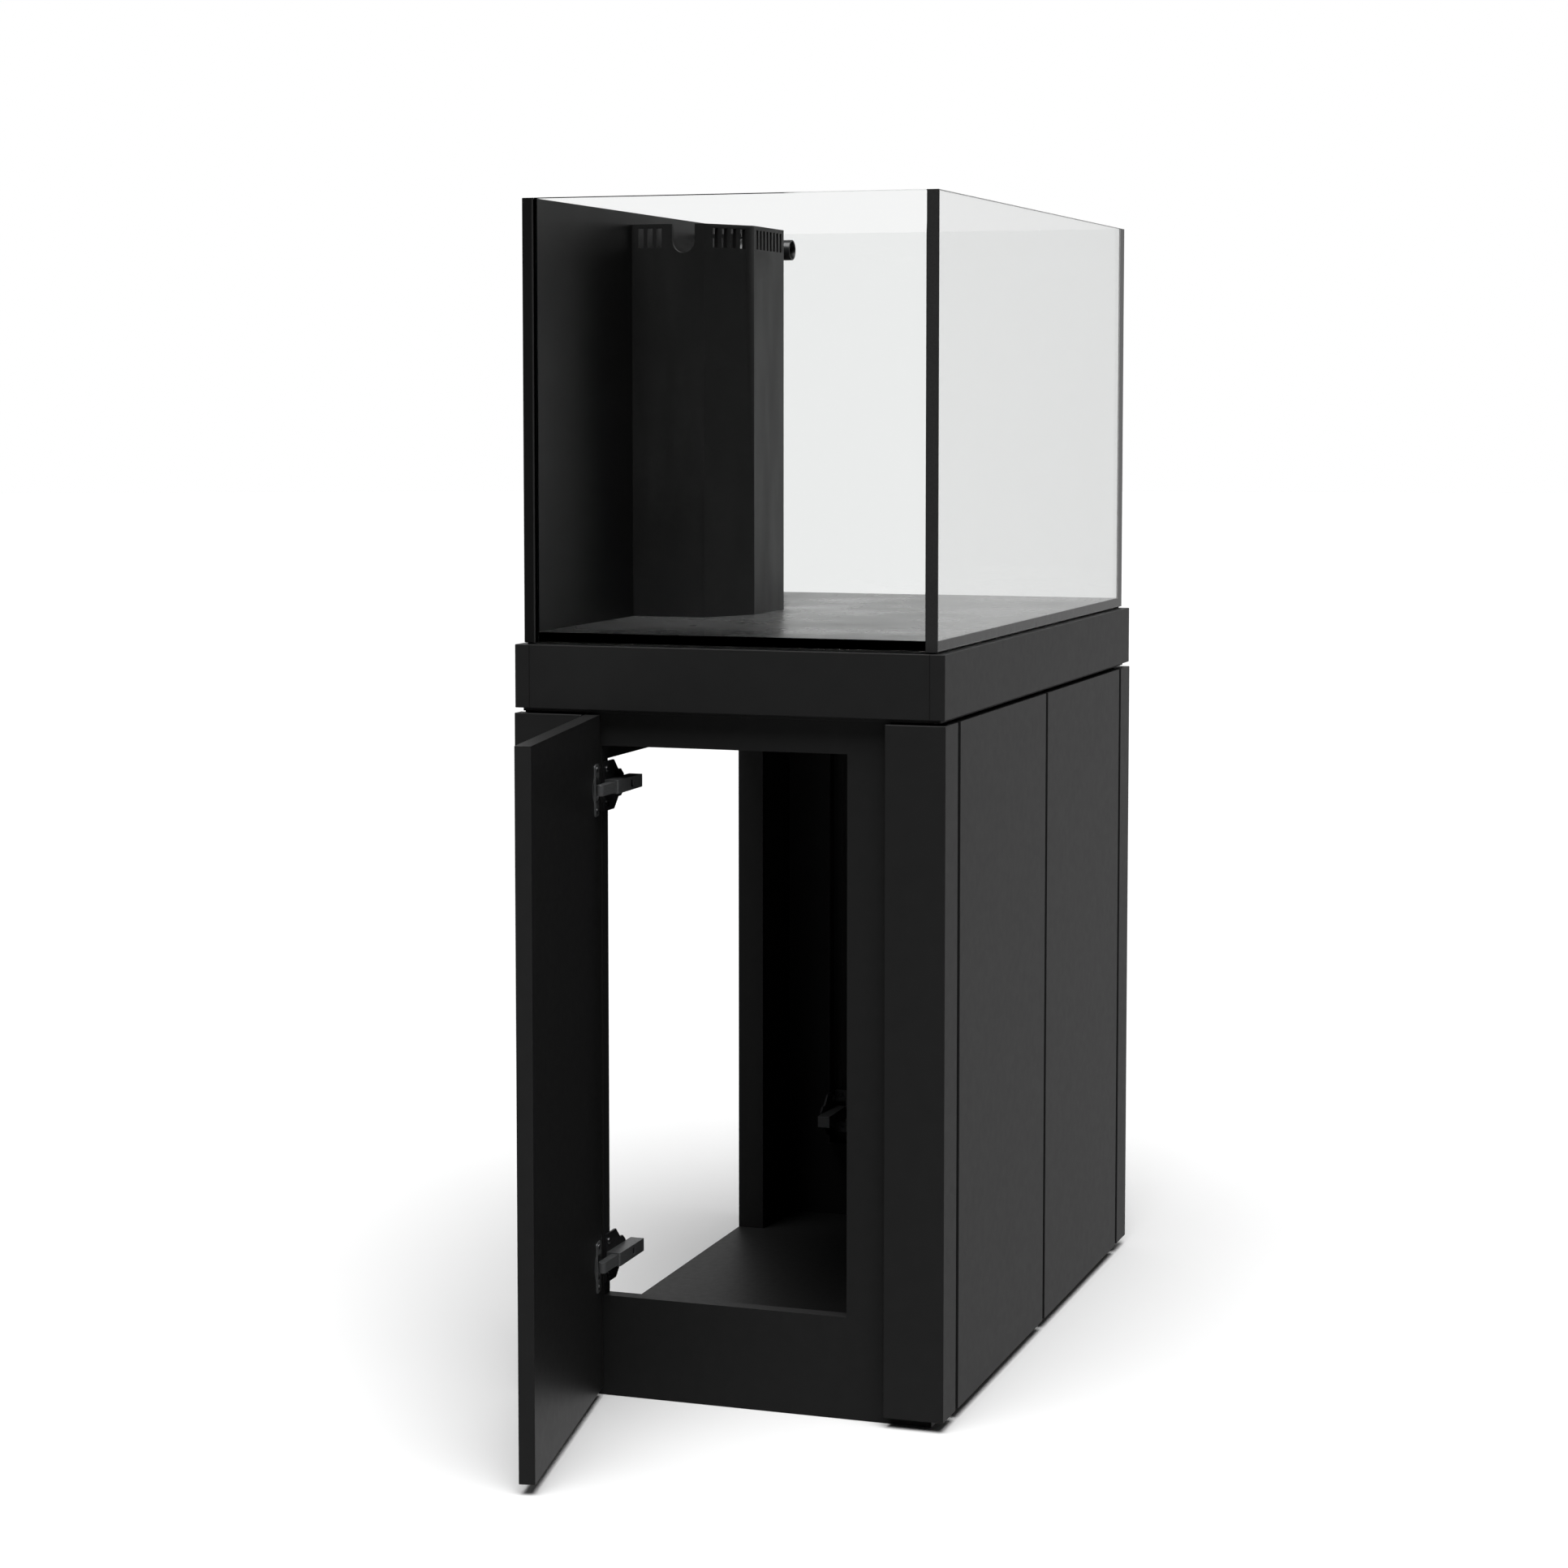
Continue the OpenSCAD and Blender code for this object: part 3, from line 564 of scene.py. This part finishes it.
def closed_frame(door):
    """The hinge frame of a closed door: x from its hinge edge along its inner face, y outwards."""
    side = 1 if "right" in door else -1
    if door in ("left_side", "right_side"):
        along, out = Vector((0, -1, 0)), Vector((side, 0, 0))
    else:
        along, out = Vector((-side, 0, 0)), Vector((0, -1, 0))
    pivot = Vector(JOINTS[f"{door}_door_hinge"]["pos_m"]) / MM
    pivot.z = 0
    corner = pivot - along * PIVOT[0] - out * PIVOT[1]
    columns = Matrix((along, out, UP)).transposed()
    return Matrix.Translation(corner) @ columns.to_4x4()


def swung(door):
    """What turns with a door, from its closed place to where it is at rest."""
    if door != "left_side":
        return Matrix.Identity(4)
    pivot = Matrix.Translation((*PIVOT, 0))
    return pivot @ Matrix.Rotation(math.radians(REST_OPEN), 4, "Z") @ pivot.inverted()


def hinge_heights(door):
    low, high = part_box(f"{door}_cups")
    return (high.z / MM - HINGE_ENDS, low.z / MM + HINGE_ENDS)


def link_travel(door):
    """How far a door's links stand out of their arms at rest."""
    place = closed_frame(door).inverted()
    corners = [place @ (corner / MM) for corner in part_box(f"{door}_links")]
    return max(corner.y for corner in corners) - KNUCKLE_Y - KNUCKLE_R


def arm_shape():
    """The fixed arm: a folded channel with a rounded nose and a slot in its face."""
    nose = arc((ARM_FACE - ARM_NOSE_R, ARM_NOSE - ARM_NOSE_R), ARM_NOSE_R, 0, 90, 5)
    outline = [(PLATE_FACE, ARM_TAIL), (ARM_FACE, ARM_TAIL), *nose, (PLATE_FACE, ARM_NOSE)]
    arm = prism(outline, -ARM_HALF, ARM_HALF)
    for vert in arm.verts:
        if vert.co.y == ARM_TAIL:
            vert.co.z *= TAIL_TAPER
    room = LINK_HALF + LINK_GAP
    inner, outer = LINK_SIDES[0] - LINK_GAP, LINK_SIDES[1] + LINK_GAP
    tail, past = LINK_TAIL - TAIL_GAP, KNUCKLE_Y + KNUCKLE_R
    channel = prism([(inner, tail), (outer, tail), (outer, past), (inner, past)], -room, room)
    low, high = ARM_SLOT
    inside, outside = LINK_SIDES[1] - 1, ARM_FACE + 2
    slot = prism([(inside, low), (outside, low), (outside, high), (inside, high)],
                 -ARM_SLOT_HALF, ARM_SLOT_HALF)
    return carve(arm, channel, slot)


def link_shape():
    """The link: a closed body with a round nose."""
    x0, x1 = LINK_SIDES
    reach = KNUCKLE_Y + KNUCKLE_R
    nose = [((x0 + x1) / 2 + (x1 - x0) / 2 * x, reach * y) for x, y in arc((0, 0), 1, 0, 180, 20)]
    return prism([(x0, LINK_TAIL), (x1, LINK_TAIL), *nose], -LINK_HALF, LINK_HALF)


def rivet_shape():
    return lathe([(0, -0.5), (1.7, -0.5), (1.7, 0.08), (1.2, 0.2), (0, 0.22)], RIVET_SIDES)


def cup_shape():
    """The pressed bowl, its rim let in almost flush."""
    inner = CUP_R - CUP_WALL
    return lathe([(0, CUP_DEPTH), (CUP_R - 1, CUP_DEPTH), (CUP_R, CUP_DEPTH - 1), (CUP_R, 0),
                  (CUP_R + RIM_W, 0), (CUP_R + 0.8 * RIM_W, -0.25), (inner + 0.3, -0.3), (inner, 0),
                  (inner, CUP_DEPTH - 2), (inner - 1, CUP_DEPTH - 1), (0, CUP_DEPTH - 1)], CUP_SIDES)


def flange_shape():
    """The flange on the door's face: a round-cornered strip, cut open towards the hinge edge for the link."""
    x, y = FLANGE_HALF - FLANGE_CORNER, HINGE_ENDS - FLANGE_CORNER
    near, far = FLANGE_LAPS

    def corner(centre, start):
        return arc(centre, FLANGE_CORNER, start, start + 90, 6)

    outline = [*corner((x, -y), 270), *corner((x, y), 0), *corner((-x, y), 90), (-FLANGE_HALF, near),
               (FLANGE_MOUTH, far), (FLANGE_MOUTH, -far), (-FLANGE_HALF, -near), *corner((-x, -y), 180)]
    return prism(outline, -FLANGE_SHEET, 0)


def copies(make, places):
    """The same shape at several places."""
    return [(make(), place) for place in places]


def add_hinges(looks):
    steel, screws = looks[hinge_steel], looks[screw_steel]
    pin = Matrix.Translation((sum(LINK_SIDES) / 2, KNUCKLE_Y, LINK_HALF))
    under = Matrix.Scale(-1, 4, UP)
    arms, plate_screws = [], []
    for door in DOORS:
        closed = closed_frame(door)
        opened = closed @ swung(door)
        heights = [Matrix.Translation((0, 0, z)) for z in hinge_heights(door)]
        arms += [closed @ height for height in heights]
        plate_screws += [
            closed @ height @ Matrix.Translation((PLATE_FACE, PLATE_SCREW_Y, end * PLATE_SCREW_Z)) @ ALONG_X
            for height in heights for end in (-1, 1)]
        travel = Matrix.Translation((0, link_travel(door), 0))
        links = [closed @ height @ travel for height in heights]
        cups = [opened @ height @ Matrix.Translation((CUP_X, 0, 0)) @ ALONG_Y for height in heights]
        cup_screws = [
            opened @ height @ Matrix.Translation((CUP_X, -FLANGE_SHEET, end * CUP_SCREW_Z)) @ AGAINST_Y
            for height in heights for end in (-1, 1)]
        link_parts = copies(link_shape, links) + copies(rivet_shape, [link @ pin for link in links])
        link_parts += copies(rivet_shape, [link @ under @ pin for link in links])
        piece(f"{door}_link_pair", link_parts, steel, f"{door}_links", f"{door}_links",
              LINK_EDGE)
        piece(f"{door}_cup_pair", copies(cup_shape, cups) + copies(flange_shape, cups),
              steel, f"{door}_door", f"{door}_cups", CUP_EDGE)
        piece(f"{door}_cup_screw_set", copies(lambda: cross_head_screw(*CUP_SCREW), cup_screws),
              screws, f"{door}_door", f"{door}_cup_screws")
    piece("arm_set", copies(arm_shape, arms), steel, "stand", "hinge_arms", ARM_EDGE)
    piece("plate_screw_set", copies(lambda: cross_head_screw(*PLATE_SCREW), plate_screws),
          screws, "stand", "plate_screws")


add_camera()
add_room()
add_floor()
add_softbox()
add_hinges(finish_nodes())
